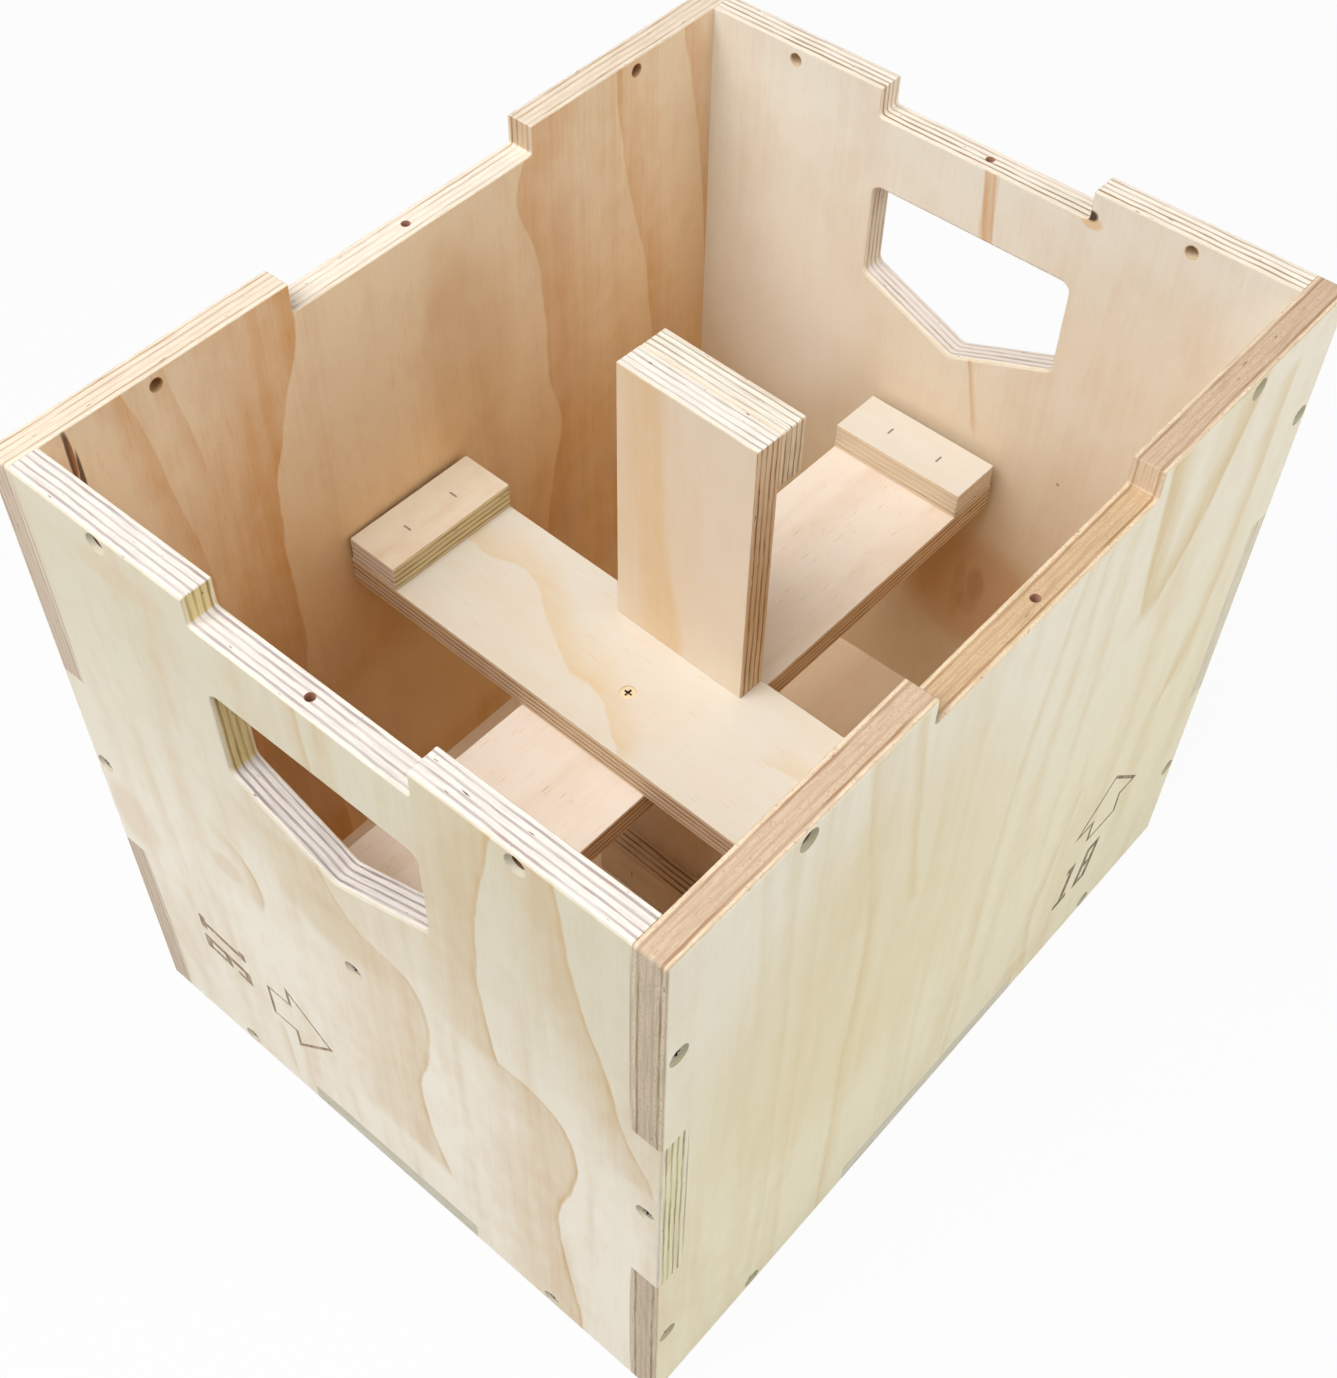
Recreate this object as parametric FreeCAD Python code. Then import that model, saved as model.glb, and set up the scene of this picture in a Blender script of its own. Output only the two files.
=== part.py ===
import FreeCAD, Part
import math
import os

Vector = FreeCAD.Vector
Rotation = FreeCAD.Rotation
Placement = FreeCAD.Placement

# Whole box in millimetres, standing on its base with the open side up
box_length = 508.0
box_width = 406.4
box_height = 457.2

# Plywood sheet that every board is cut from
sheet_thickness = 17.5
outer_edge_radius = 2.0
cut_edge_radius = 0.8

# Finger joints up the four corners, the ends owning the odd fingers
fingers_per_corner = 3

# Seats for panel tabs, open along the top and filled along the bottom
long_seat_length = 171.6
end_seat_length = 135.2
seat_corner_radius = 2.5
tab_clearance = 0.3

# Hand holes in the two ends, five-sided with the point down
handle_width = 131.0
handle_side_height = 60.0
handle_point_drop = 27.0
handle_top_margin = 61.7
handle_corner_radius = 6.0
handle_edge_radius = 2.0

# Bracing strips, each standing slightly askew
strip_width = 91.5
cross_brace_offset = 35.0
cross_brace_skew_degrees = 1.4
long_brace_shift = 2.2
long_brace_gap = 4.5
long_brace_skew_degrees = 0.9
post_top_clearance = 2.3
post_skew_degrees = 2.1
brace_end_clearance = 0.3

# Short cleats stapled to the ends of the strips
cleat_length = 91.5
cleat_depth = 36.0
cleat_setback = 1.5
cleat_corner_radius = 1.2

# Countersunk wood screws with a cross recess
screw_head_diameter = 9.0
screw_shank_diameter = 4.5
screw_length = 45.0
brace_screw_length = 32.0
screw_point_length = 6.0
brace_screw_sink = 0.4
brace_screw_shift = 1.2
recess_span = 5.0
recess_width = 1.3
recess_depth = 1.8
fastener_clearance = 0.1

# Countersunk holes through the walls, wide enough that a screw head sits below the face
wall_hole_rim_diameter = 12.0
wall_hole_diameter = 7.6

# Places of the screws and of the empty holes round the top
panel_screw_inset = 7.6
long_panel_screw_spacing = 340.4
end_panel_screw_spacing = 252.8
pilot_diameter = 5.2
pilot_depth = 30.0

# Staples through the cleats
staple_spacing = 36.0
staple_crown = 5.5
staple_wire = 1.2
staple_leg = 22.0
staple_sink = 0.3

# Height marks burned a little way into the front long side and the left end
mark_depth = 0.3
front_mark_across = 156.5
front_mark_foot = 51.5
left_mark_across = 145.5
left_mark_middle = 94.0
arrow_head_width = 68.0
arrow_head_height = 34.0
arrow_shaft_width = 31.5
arrow_shaft_height = 18.5
arrow_line = 2.4
arrow_gap = 16.0
digit_height = 38.0
digit_width = 14.5
digit_stroke = 5.0
digit_flag = 4.0
digit_hook = 12.0
digit_gap = 7.5
digit_lean = 6.0
digit_corner_radius = 1.0
number_start = 36.0

# Every cut runs this far past the board
overrun = 5.0

# Sizes worked out from the ones above
half_length = box_length / 2
half_width = box_width / 2
inner_half_length = half_length - sheet_thickness
inner_half_width = half_width - sheet_thickness
finger_height = box_height / fingers_per_corner
seat_floor = box_height - sheet_thickness
long_brace_middle = box_height / 2
long_brace_low = long_brace_middle - sheet_thickness / 2
long_brace_top = long_brace_low + sheet_thickness
long_brace_end = inner_half_length - long_brace_gap
cross_brace_top = long_brace_top + sheet_thickness
cross_brace_skew = math.radians(cross_brace_skew_degrees)
cross_skew_reach = strip_width / 2 * math.sin(cross_brace_skew)
cross_brace_room = inner_half_width - brace_end_clearance - cross_skew_reach
cross_brace_half = cross_brace_room / math.cos(cross_brace_skew)
long_brace_skew = math.radians(long_brace_skew_degrees)
long_skew_reach = strip_width / 2 * math.sin(long_brace_skew)
long_brace_start = (long_skew_reach - inner_half_length) / math.cos(long_brace_skew)
post_top = seat_floor - post_top_clearance
post_back = strip_width / 2
post_front = post_back - sheet_thickness
head_radius = screw_head_diameter / 2
shank_radius = screw_shank_diameter / 2
head_depth = head_radius - shank_radius
rim_radius = wall_hole_rim_diameter / 2
hole_radius = wall_hole_diameter / 2
wall_screw_sink = rim_radius - head_radius - fastener_clearance

up = Vector(0, 0, 1)
outward = Vector(0, -1, 0)
# Each wall is drawn facing the front and then turned to its side of the box
wall_turns = {"front_long_side": 0, "right_end": 90, "back_long_side": 180, "left_end": 270}
# Each strip is drawn square and then turned a little, the cross brace and the posts about the crossing
crossing = Vector(-cross_brace_offset, 0, 0)
cross_brace_place = Placement(crossing, Rotation(up, -cross_brace_skew_degrees))
post_place = Placement(crossing, Rotation(up, -post_skew_degrees))
long_brace_place = Placement(Vector(0, long_brace_shift, 0), Rotation(up, -long_brace_skew_degrees))
# Number of each height mark, and where the middle of its foot is on the wall
upright = Placement(Vector(front_mark_across, 0, front_mark_foot), Rotation())
lying = Placement(Vector(-left_mark_across, 0, left_mark_middle), Rotation(-outward, 90))
height_marks = {"front_long_side": ("18", upright), "left_end": ("16", lying)}


def moved(shape, placement):
    copy = shape.copy()
    copy.Placement = placement.multiply(copy.Placement)
    return copy


def slab(x_low, x_high, y_low, y_high, z_low, z_high):
    corner = Vector(x_low, y_low, z_low)
    return Part.makeBox(x_high - x_low, y_high - y_low, z_high - z_low, corner)


def eased(shape, radius):
    return shape.makeFillet(radius, shape.Edges)


def edges_within(shape, test):
    """Edges whose every vertex passes the test."""
    return [edge for edge in shape.Edges if all(test(vertex.Point) for vertex in edge.Vertexes)]


def spun(points):
    """Solid of revolution about Z from a profile of radius and height pairs."""
    outline = [Vector(radius, 0, height) for radius, height in points]
    face = Part.Face(Part.makePolygon(outline + outline[:1]))
    return face.revolve(Vector(0, 0, 0), up, 360)


def is_end(wall):
    return wall.endswith("end")


def wall_placement(wall):
    turn = Rotation(up, wall_turns[wall])
    reach = half_length if is_end(wall) else half_width
    return Placement(turn.multVec(outward) * reach, turn)


# Fasteners, each drawn along Z with its head at the origin and its point down


def screw(length):
    shoulder = screw_point_length - length
    profile = [(0, 0), (head_radius, 0), (shank_radius, -head_depth), (shank_radius, shoulder), (0, -length)]
    body = spun(profile)
    for span_x, span_y in ((recess_span, recess_width), (recess_width, recess_span)):
        body = body.cut(slab(-span_x / 2, span_x / 2, -span_y / 2, span_y / 2, -recess_depth, overrun))
    return body


def brace_screw_space(length):
    """Room that a screw fills in the wood, up through the face above its sunk head."""
    head = head_radius + fastener_clearance
    shank = shank_radius + fastener_clearance
    end = -length - fastener_clearance
    profile = [(0, overrun), (head, overrun), (head, 0), (shank, -head_depth), (shank, end), (0, end)]
    return spun(profile)


def wall_hole(depth, bottom):
    """Profile of a countersunk wall hole whose face is the given depth above the origin."""
    cone_low = depth - rim_radius + hole_radius
    rim = [(0, depth + overrun), (rim_radius, depth + overrun), (rim_radius, depth)]
    return rim + [(hole_radius, cone_low), (hole_radius, bottom)]


def wall_screw_space(length):
    """Countersunk hole through a wall over a sunk head, and the screw's own room in the board behind."""
    shank = shank_radius + fastener_clearance
    end = -length - fastener_clearance
    behind = wall_screw_sink - sheet_thickness
    return spun(wall_hole(wall_screw_sink, behind) + [(shank, behind), (shank, end), (0, end)])


def staple(clearance, rise):
    """Staple pushed down, its crown across Y, or the room it fills with its top raised past the face."""
    half = staple_crown / 2 + clearance
    wire = staple_wire / 2 + clearance
    inner = staple_crown / 2 - staple_wire - clearance
    crown_low = -staple_wire - clearance
    foot = -staple_leg - clearance
    crown = slab(-wire, wire, -half, half, crown_low, rise)
    near_leg = slab(-wire, wire, -half, -inner, foot, crown_low)
    far_leg = slab(-wire, wire, inner, half, foot, crown_low)
    return crown.fuse([near_leg, far_leg]).removeSplitter()


def driven(point, direction, depth):
    """Placement of a fastener pushed the given depth below a face."""
    return Placement(point + direction * depth, Rotation(-up, direction))


# Places of the screws, grouped as they are handed over


def corner_screw_places():
    places = []
    for wall in wall_turns:
        own = 1 if is_end(wall) else 0
        half = (half_width if is_end(wall) else half_length) - sheet_thickness / 2
        for finger in range(own, fingers_per_corner, 2):
            for side in (-1, 1):
                point = Vector(side * half, 0, (finger + 1 / 2) * finger_height)
                places.append(wall_placement(wall).multiply(driven(point, -outward, wall_screw_sink)))
    return places


def bottom_panel_screw_places():
    places = []
    for wall in wall_turns:
        spacing = end_panel_screw_spacing if is_end(wall) else long_panel_screw_spacing
        for side in (-1, 1):
            point = Vector(side * spacing / 2, 0, panel_screw_inset)
            places.append(wall_placement(wall).multiply(driven(point, -outward, wall_screw_sink)))
    return places


def bottom_tab_screw_places():
    places = []
    for wall in wall_turns:
        point = Vector(0, sheet_thickness / 2, 0)
        places.append(wall_placement(wall).multiply(driven(point, up, wall_screw_sink)))
    return places


def brace_end_screw_place():
    point = Vector(0, 0, long_brace_middle)
    return wall_placement("left_end").multiply(driven(point, -outward, wall_screw_sink))


def crossing_screw_place():
    ledge_middle = (post_front - strip_width / 2) / 2
    point = Vector(ledge_middle - brace_screw_shift, brace_screw_shift, cross_brace_top)
    return cross_brace_place.multiply(driven(point, -up, brace_screw_sink))


def screw_group(places, length):
    return Part.makeCompound([moved(screw(length), place) for place in places])


def wall_screw_spaces(places):
    return [moved(wall_screw_space(screw_length), place) for place in places]


# Walls, drawn with the outer face at zero depth and the middle of the base at the origin


def seat(length, clearance, depth):
    """Block that fills a panel seat, on the base, with its two upper corners rounded."""
    half = length / 2 - clearance
    block = slab(-half, half, -overrun, depth, -overrun, sheet_thickness)
    corners = edges_within(block, lambda point: point.z > 0)
    along = [edge for edge in corners if edge.BoundBox.YLength > sheet_thickness]
    return block.makeFillet(seat_corner_radius, along)


def hand_hole():
    top = box_height - handle_top_margin
    side_low = top - handle_side_height
    half = handle_width / 2
    point_low = side_low - handle_point_drop
    outline = [(-half, top), (half, top), (half, side_low), (0, point_low), (-half, side_low)]
    points = [Vector(x, -overrun, z) for x, z in outline]
    face = Part.Face(Part.makePolygon(points + points[:1]))
    prism = face.extrude(-outward * (sheet_thickness + overrun + overrun))
    across = [edge for edge in prism.Edges if edge.BoundBox.YLength > sheet_thickness]
    return prism.makeFillet(handle_corner_radius, across)


def empty_screw_hole():
    """Countersunk hole right through a wall, head side up."""
    end = -sheet_thickness - overrun
    return spun(wall_hole(0, end) + [(0, end)])


def burned(points):
    """Shallow block through the outer face from an outline of places across and up."""
    outline = [Vector(x, -overrun, z) for x, z in points]
    face = Part.Face(Part.makePolygon(outline + outline[:1]))
    return face.extrude(-outward * (overrun + mark_depth))


def digit(figure, start):
    """Block figure of a few straight strokes, leaning to the right."""
    wide, high, stroke = digit_width, digit_height, digit_stroke
    stem = (wide - stroke) / 2
    waist = (high - stroke) / 2
    base = (0, wide, 0, stroke)
    middle = (0, wide, waist, waist + stroke)
    cap = (0, wide, high - stroke, high)
    left = (0, stroke, 0, high)
    right = (wide - stroke, wide, 0, high)
    stalk = (stem, stem + stroke, 0, high)
    flag = (stem - digit_flag, stem, high - stroke, high)
    lower_right = (wide - stroke, wide, 0, waist + stroke)
    hook = (wide - stroke, wide, high - digit_hook, high)
    strokes = {"1": [base, stalk, flag], "6": [base, middle, cap, left, lower_right, hook],
               "8": [base, middle, cap, left, right]}
    blocks = []
    for x_low, x_high, z_low, z_high in strokes[figure]:
        corners = [(x_low, z_low), (x_high, z_low), (x_high, z_high), (x_low, z_high)]
        blocks.append(burned([(start + x + z * digit_lean / high, z) for x, z in corners]))
    block = blocks[0].fuse(blocks[1:]).removeSplitter()
    through = [edge for edge in block.Edges if edge.BoundBox.YLength > mark_depth]
    return block.makeFillet(digit_corner_radius, through)


def arrow():
    """Outline arrow above a number, pointing up."""
    foot = digit_height + arrow_gap
    neck = foot + arrow_shaft_height
    shaft = arrow_shaft_width / 2
    head = arrow_head_width / 2
    half = [(shaft, foot), (shaft, neck), (head, neck), (0, neck + arrow_head_height)]
    outline = half + [(-x, z) for x, z in reversed(half[:-1])]
    points = [Vector(x, -overrun, z) for x, z in outline]
    face = Part.Face(Part.makePolygon(points + points[:1]))
    line = face.cut(face.makeOffset2D(-arrow_line, 2))
    return line.extrude(-outward * (overrun + mark_depth))


def height_mark(figures):
    blocks = [arrow()]
    for place, figure in enumerate(figures):
        blocks.append(digit(figure, place * (digit_width + digit_gap) - number_start))
    return blocks


def finger_gaps(wall):
    """Corner blocks of the fingers that belong to the neighbouring walls."""
    half = half_width if is_end(wall) else half_length
    inner = half - sheet_thickness
    first = 0 if is_end(wall) else 1
    gaps = []
    for finger in range(first, fingers_per_corner, 2):
        low = finger * finger_height - (0 if finger else overrun)
        high = (finger + 1) * finger_height
        high = high + overrun if finger + 1 == fingers_per_corner else high
        depth = sheet_thickness + overrun
        gaps.append(slab(inner, half + overrun, -overrun, depth, low, high))
        gaps.append(slab(-half - overrun, -inner, -overrun, depth, low, high))
    return gaps


def ease_top_edges(board, wall):
    """Take the sharpness off the top edge and the open seat, away from the corners of the box."""
    run = inner_half_width if is_end(wall) else half_length
    run = run - cut_edge_radius
    lowest = seat_floor - cut_edge_radius
    edges = edges_within(board, lambda point: point.z > lowest)
    edges = [edge for edge in edges if abs(edge.CenterOfMass.x) < run]
    return board.makeFillet(cut_edge_radius, edges)


def ease_hand_hole(board):
    low = box_height - handle_top_margin - handle_side_height - handle_point_drop - handle_edge_radius
    reach = handle_width / 2 + handle_edge_radius
    edges = edges_within(board, lambda point: low < point.z < seat_floor and abs(point.x) < reach)
    rims = [edge for edge in edges if edge.BoundBox.YLength < handle_edge_radius]
    return board.makeFillet(handle_edge_radius, rims)


def rounded_envelope():
    return eased(slab(-half_length, half_length, -half_width, half_width, 0, box_height), outer_edge_radius)


def wall_board(wall, fastener_spaces):
    half = half_width if is_end(wall) else half_length
    seat_length = end_seat_length if is_end(wall) else long_seat_length
    spacing = end_panel_screw_spacing if is_end(wall) else long_panel_screw_spacing
    board = slab(-half, half, 0, sheet_thickness, 0, box_height)
    bottom_seat = seat(seat_length, 0, sheet_thickness + overrun)
    middle = Vector(0, 0, box_height / 2)
    top_seat = bottom_seat.mirror(middle, up)
    board = board.cut(finger_gaps(wall) + [bottom_seat, top_seat])
    if is_end(wall):
        board = ease_hand_hole(board.cut(hand_hole()))
    board = ease_top_edges(board, wall)
    holes = []
    for side in (-1, 1):
        point = Vector(side * spacing / 2, 0, box_height - panel_screw_inset)
        holes.append(moved(empty_screw_hole(), driven(point, -outward, 0)))
    pilot_foot = Vector(0, sheet_thickness / 2, seat_floor - pilot_depth)
    holes.append(Part.makeCylinder(pilot_diameter / 2, pilot_depth + overrun, pilot_foot))
    if wall in height_marks:
        figures, mark_place = height_marks[wall]
        holes += [moved(block, mark_place) for block in height_mark(figures)]
    board = moved(board.cut(holes), wall_placement(wall))
    return board.common(rounded_envelope()).cut(fastener_spaces)


def bottom_panel(fastener_spaces):
    run = inner_half_length
    reach = inner_half_width
    panel = slab(-run, run, -reach, reach, 0, sheet_thickness)
    tabs = []
    for wall in wall_turns:
        seat_length = end_seat_length if is_end(wall) else long_seat_length
        tab = seat(seat_length, tab_clearance, sheet_thickness)
        tabs.append(moved(tab, wall_placement(wall)))
    whole = panel.fuse(tabs).common(rounded_envelope()).removeSplitter()
    return whole.cut(fastener_spaces)


# Bracing inside the box


def long_brace():
    half = strip_width / 2
    strip = slab(long_brace_start, long_brace_end, -half, half, long_brace_low, long_brace_top)
    return moved(eased(strip, cut_edge_radius), long_brace_place)


def cross_brace():
    half = strip_width / 2
    strip = slab(-half, half, -cross_brace_half, cross_brace_half, long_brace_top, cross_brace_top)
    return moved(eased(strip, cut_edge_radius), cross_brace_place)


def post(low, high):
    half = strip_width / 2
    strip = slab(post_front, post_back, -half, half, low, high)
    return moved(eased(strip, cut_edge_radius), post_place)


def cleat():
    """Cleat lying on the plane below it, long way along X."""
    half_run = cleat_length / 2
    half_depth = cleat_depth / 2
    block = slab(-half_run, half_run, -half_depth, half_depth, 0, sheet_thickness)
    upright = [edge for edge in block.Edges if edge.BoundBox.ZLength > cleat_corner_radius]
    block = block.makeFillet(cleat_corner_radius, upright)
    rims = [edge for edge in block.Edges if edge.BoundBox.ZLength < cleat_corner_radius]
    return block.makeFillet(cut_edge_radius, rims)


def cleat_places():
    along = Vector(0, 1, 0)
    ahead = Vector(1, 0, 0)
    sideways = Rotation(up, 90)
    facing_ahead = Rotation(along, up, ahead, "XYZ")
    facing_behind = Rotation(along, -up, -ahead, "XYZ")
    end_middle = cross_brace_half - cleat_setback - cleat_depth / 2
    upper_middle = post_top - cleat_depth / 2
    lower_middle = sheet_thickness + cleat_depth / 2
    right_middle = long_brace_end - cleat_setback - cleat_depth / 2
    on_back = Placement(Vector(0, end_middle, cross_brace_top), Rotation())
    on_front = Placement(Vector(0, -end_middle, cross_brace_top), Rotation())
    on_right = Placement(Vector(right_middle, 0, long_brace_top), sideways)
    on_upper_post = Placement(Vector(post_back, 0, upper_middle), facing_ahead)
    on_lower_post = Placement(Vector(post_front, 0, lower_middle), facing_behind)
    return {
        "back_cleat": cross_brace_place.multiply(on_back),
        "front_cleat": cross_brace_place.multiply(on_front),
        "right_cleat": long_brace_place.multiply(on_right),
        "upper_post_cleat": post_place.multiply(on_upper_post),
        "lower_post_cleat": post_place.multiply(on_lower_post),
    }


def staple_places():
    places = []
    for cleat_place in cleat_places().values():
        for side in (-1, 1):
            top = Vector(side * staple_spacing / 2, 0, sheet_thickness - staple_sink)
            places.append(cleat_place.multiply(Placement(top, Rotation())))
    return places


def hand_over(node, shape):
    shape.exportStep("parts/" + node + ".step")


os.makedirs("parts", exist_ok=True)

corner_places = corner_screw_places()
panel_places = bottom_panel_screw_places()
tab_places = bottom_tab_screw_places()
brace_end_places = [brace_end_screw_place()]
crossing_places = [crossing_screw_place()]

wall_spaces = wall_screw_spaces(corner_places + panel_places + tab_places + brace_end_places)
brace_spaces = wall_screw_spaces(brace_end_places)
brace_spaces += [moved(brace_screw_space(brace_screw_length), place) for place in crossing_places]
staple_spaces = [moved(staple(fastener_clearance, overrun), place) for place in staple_places()]

for wall in wall_turns:
    hand_over(wall, wall_board(wall, wall_spaces))
hand_over("bottom_panel", bottom_panel(wall_spaces))
hand_over("long_brace", long_brace().cut(brace_spaces + staple_spaces))
hand_over("cross_brace", cross_brace().cut(brace_spaces + staple_spaces))
hand_over("upper_post", post(cross_brace_top, post_top).cut(staple_spaces))
hand_over("lower_post", post(sheet_thickness, long_brace_low).cut(staple_spaces))
for node, place in cleat_places().items():
    hand_over(node, moved(cleat(), place).cut(staple_spaces))
hand_over("corner_screws", screw_group(corner_places, screw_length))
hand_over("bottom_panel_screws", screw_group(panel_places, screw_length))
hand_over("bottom_tab_screws", screw_group(tab_places, screw_length))
hand_over("brace_end_screw", screw_group(brace_end_places, screw_length))
hand_over("crossing_screw", screw_group(crossing_places, brace_screw_length))
hand_over("cleat_staples", Part.makeCompound([moved(staple(0, 0), place) for place in staple_places()]))
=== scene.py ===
import math

import bpy
from mathutils import Matrix, Vector


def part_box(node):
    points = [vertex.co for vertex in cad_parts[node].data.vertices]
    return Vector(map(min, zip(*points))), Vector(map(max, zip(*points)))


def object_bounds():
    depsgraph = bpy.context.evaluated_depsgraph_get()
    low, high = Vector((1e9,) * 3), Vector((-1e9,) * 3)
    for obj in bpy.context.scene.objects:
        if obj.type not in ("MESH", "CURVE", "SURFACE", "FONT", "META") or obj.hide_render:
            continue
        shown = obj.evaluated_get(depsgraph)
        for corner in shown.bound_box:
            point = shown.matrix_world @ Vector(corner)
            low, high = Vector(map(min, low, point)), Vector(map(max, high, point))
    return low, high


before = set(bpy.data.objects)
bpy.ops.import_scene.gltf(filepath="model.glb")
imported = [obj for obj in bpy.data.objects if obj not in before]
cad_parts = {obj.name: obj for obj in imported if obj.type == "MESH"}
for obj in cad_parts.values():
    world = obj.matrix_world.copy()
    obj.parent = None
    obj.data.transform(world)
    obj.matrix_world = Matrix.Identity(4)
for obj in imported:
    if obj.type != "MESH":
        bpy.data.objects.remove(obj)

cad_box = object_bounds()

# Sizes in millimetres, the same as the solids have
METRE = 1000.0
SHEET = 17.5
STRIP = 91.5
CROSS_OFFSET = 35.0
LONG_SHIFT = 2.2
CROSS_SKEW = 1.4
LONG_SKEW = 0.9
POST_SKEW = 2.1

BOX_LOW = Vector(cad_box[0]) * METRE
BOX_HIGH = Vector(cad_box[1]) * METRE
X = Vector((1, 0, 0))
Y = Vector((0, 1, 0))
Z = Vector((0, 0, 1))

# Settings that many nodes share
LINEAR = {"interpolation_type": "LINEAR"}
SMOOTH = {"interpolation_type": "SMOOTHSTEP"}
COLOUR = {"data_type": "RGBA", "out": 2}


def linear(code):
    """Linear colour of an sRGB hex code."""
    shares = [int(code[place:place + 2], 16) / 255 for place in (0, 2, 4)]
    return tuple(c / 12.92 if c <= 0.04045 else ((c + 0.055) / 1.055) ** 2.4 for c in shares) + (1.0,)


def add(tree, kind, inputs, out=0, **settings):
    """Add a node with its settings, each input given a value or another output, and give its output."""
    made = tree.nodes.new("ShaderNode" + kind)
    for name, value in settings.items():
        setattr(made, name, value)
    for key, value in inputs.items():
        if isinstance(value, bpy.types.NodeSocket):
            tree.links.new(value, made.inputs[key])
        else:
            made.inputs[key].default_value = value
    return made.outputs[out] if made.outputs else made


def new_material(name):
    material = bpy.data.materials.new(name)
    material.use_nodes = True
    material.node_tree.nodes.clear()
    return material


# Wood figure, drawn in a board's own millimetres: across the grain, through the sheet and along the grain

CURVE_LOW = -260.0
CURVE_RUN = 780.0
CURVE_SPAN = 560.0
RING_WIDTH = 5.0
SPAN_TAPER = 18.0
STAIN_CORE = 0.25
JOINT_REACH = 1.0
BLUSH = "E6CDB8"
# Heights over which the foot colour, painted light and shade, gives way to the early wood
FOOT_LIGHT_AND_SHADE_HEIGHTS = (150.0, 440.0)
KINK_SHARE = 1 / 3
GRAIN_LEVELS = (0.72, 1.15)

# Noise patterns in the wood: size across, through and along the board, detail, place in the noise, the
# noise at which the pattern begins and is full, and how it goes from one to the other. Fibres, flecks and
# grit are drawn coarser than real ones, so that they show
PATTERNS = {
    "bend": ((30, 60, 70), 2.0, 0, (0.0, 1.0), LINEAR),
    "kink": ((9, 60, 16), 2.0, 0, (0.0, 1.0), LINEAR),
    "cloud": ((26, 60, 230), 2.0, 3, (0.42, 0.72), SMOOTH),
    "grain": ((7, 60, 170), 3.0, 4, (0.3, 0.7), LINEAR),
    "blush": ((42, 60, 60), 2.0, 5, (0.45, 0.7), SMOOTH),
    "fibre": ((2.2, 40, 75), 3.0, 7, (0.3, 0.7), SMOOTH),
    "mottle": ((13, 60, 20), 3.0, 8, (0.3, 0.7), SMOOTH),
    "fleck": ((1.1, 40, 13), 1.0, 9, (0.64, 0.78), SMOOTH),
    "ply_drift": ((34, 40, 34), 2.0, 11, (0.0, 1.0), LINEAR),
    "line_width": ((14, 2.6, 14), 2.0, 13, (0.3, 0.7), LINEAR),
    "line_breaks": ((30, 2.2, 30), 3.0, 15, (0.32, 0.62), SMOOTH),
    "rust": ((22, 3.0, 22), 2.0, 16, (0.5, 0.75), SMOOTH),
    "edge_grain": ((16, 1.1, 30), 3.0, 17, (0.4, 0.72), SMOOTH),
    "edge_speck": ((1.6, 0.9, 1.6), 2.0, 18, (0.45, 0.75), SMOOTH),
    "voids": ((7, 1.1, 7), 1.0, 19, (0.75, 0.8), SMOOTH),
    "burn": ((3, 40, 12), 3.0, 21, (0.3, 0.7), SMOOTH),
    "grit": ((0.9, 0.9, 18), 3.0, 23, (0.2, 0.8), LINEAR),
}


def measure(tree, point, axis, start):
    """Millimetres along an axis from a starting point."""
    run = add(tree, "VectorMath", {0: point, 1: axis * METRE}, out=1, operation="DOT_PRODUCT")
    return add(tree, "Math", {0: run, 1: axis.dot(start)}, operation="SUBTRACT")


def streaks(tree, board, name, seed):
    """Plain noise of a named pattern, stretched to its size on the board."""
    size, detail, step = PATTERNS[name][:3]
    scale = tuple(1 / length for length in size)
    place = add(tree, "VectorMath", {0: board, 1: scale, 2: (seed + step,) * 3}, operation="MULTIPLY_ADD")
    return add(tree, "TexNoise", {"Vector": place, "Scale": 1.0, "Detail": detail})


def patches(tree, board, name, seed, low, high):
    """A named pattern, from the low level where it has not begun to the high level where it is full."""
    limits, change = PATTERNS[name][3:]
    noise = streaks(tree, board, name, seed)
    return add(tree, "MapRange", {0: noise, 1: limits[0], 2: limits[1], 3: low, 4: high}, **change)


def flame(tree, across, along, edge, side, fade, strength, span, share, soft):
    """Late wood: darkest at the ring it ends on, and fading away to the given side of it."""
    base = -CURVE_LOW / CURVE_RUN
    height = add(tree, "Math", {0: along, 1: 1 / CURVE_RUN, 2: base}, operation="MULTIPLY_ADD")
    line = add(tree, "FloatCurve", {"Value": height})
    mapping = line.node.mapping
    points = mapping.curves[0].points
    places = [((v - CURVE_LOW) / CURVE_RUN, u / CURVE_SPAN + 1 / 2) for v, u in edge]
    points[0].location = places[0]
    points[1].location = places[-1]
    for place in places[1:-1]:
        points.new(*place)
    mapping.update()
    reach = side * CURVE_SPAN
    back = add(tree, "Math", {0: line, 1: -reach, 2: reach / 2}, operation="MULTIPLY_ADD")
    gap = add(tree, "Math", {0: across, 1: side, 2: back}, operation="MULTIPLY_ADD")
    inside = add(tree, "MapRange", {0: gap, 1: -soft, 2: soft}, **SMOOTH)
    ring = add(tree, "MapRange", {0: gap, 1: 0.0, 2: RING_WIDTH, 3: strength * share, 4: 0.0}, **SMOOTH)
    body = add(tree, "MapRange", {0: gap, 1: 0.0, 2: fade, 3: strength * (1 - share), 4: 0.0}, **SMOOTH)
    tone = add(tree, "Math", {0: ring, 1: body}, operation="ADD")
    tone = add(tree, "Math", {0: tone, 1: inside}, operation="MULTIPLY")
    if span:
        for start, end in ((span[0] - SPAN_TAPER, span[0]), (span[1] + SPAN_TAPER, span[1])):
            taper = add(tree, "MapRange", {0: along, 1: start, 2: end}, **SMOOTH)
            tone = add(tree, "Math", {0: tone, 1: taper}, operation="MULTIPLY")
    return tone


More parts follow.
